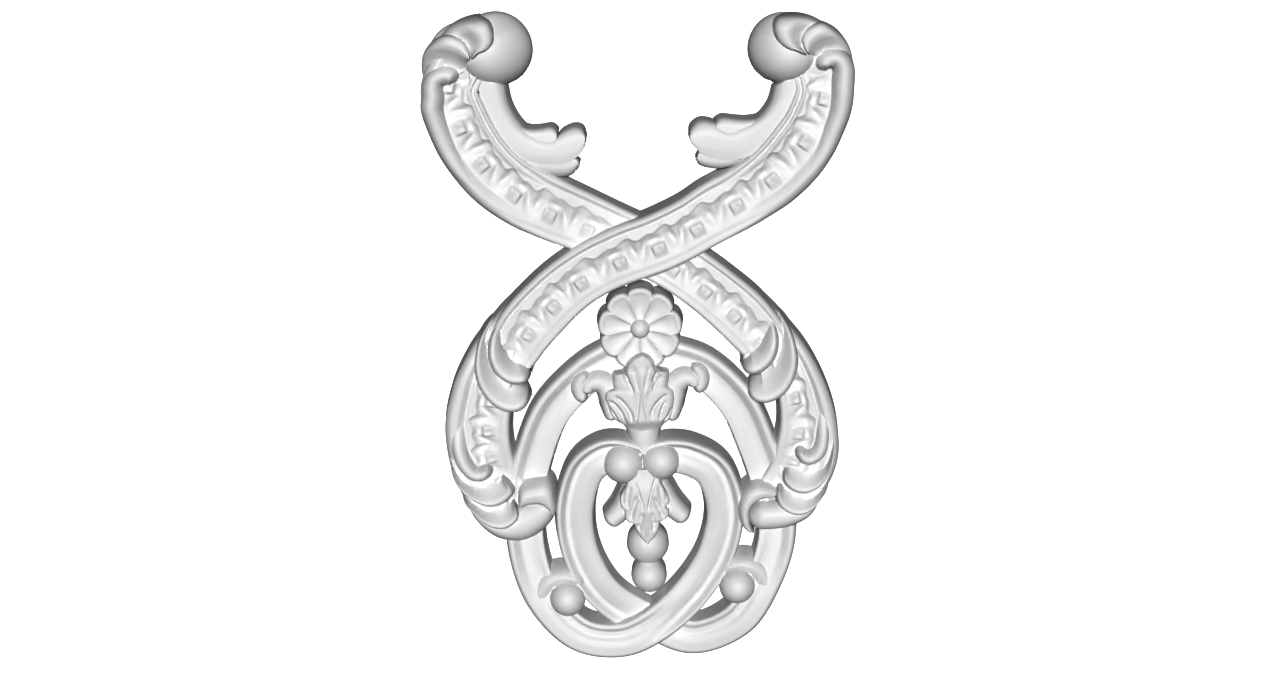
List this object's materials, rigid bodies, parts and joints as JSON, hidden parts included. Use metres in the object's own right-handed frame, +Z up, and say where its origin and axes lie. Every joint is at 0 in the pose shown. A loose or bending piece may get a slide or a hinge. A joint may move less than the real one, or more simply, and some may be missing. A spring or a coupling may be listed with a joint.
{
  "type": "wall ornament",
  "caption": "Openwork wall ornament cast in one piece: two crossing scalloped bands over side scrolls, with a rosette, a palmette and a pendant inside a ring and a heart.",
  "frame": {"origin": "on the flat back, behind the centre of the rosette", "axes": "+Y into the wall, +Z up the ornament, +X to the right as seen from the front; the relief rises towards -Y"},
  "size_m": [0.2484, 0.028, 0.3964],
  "materials": {
    "primed_polyurethane": "smooth matt primer"
  },
  "bodies": {
    "root": {"ornament": "primed_polyurethane"}
  },
  "joints": []
}
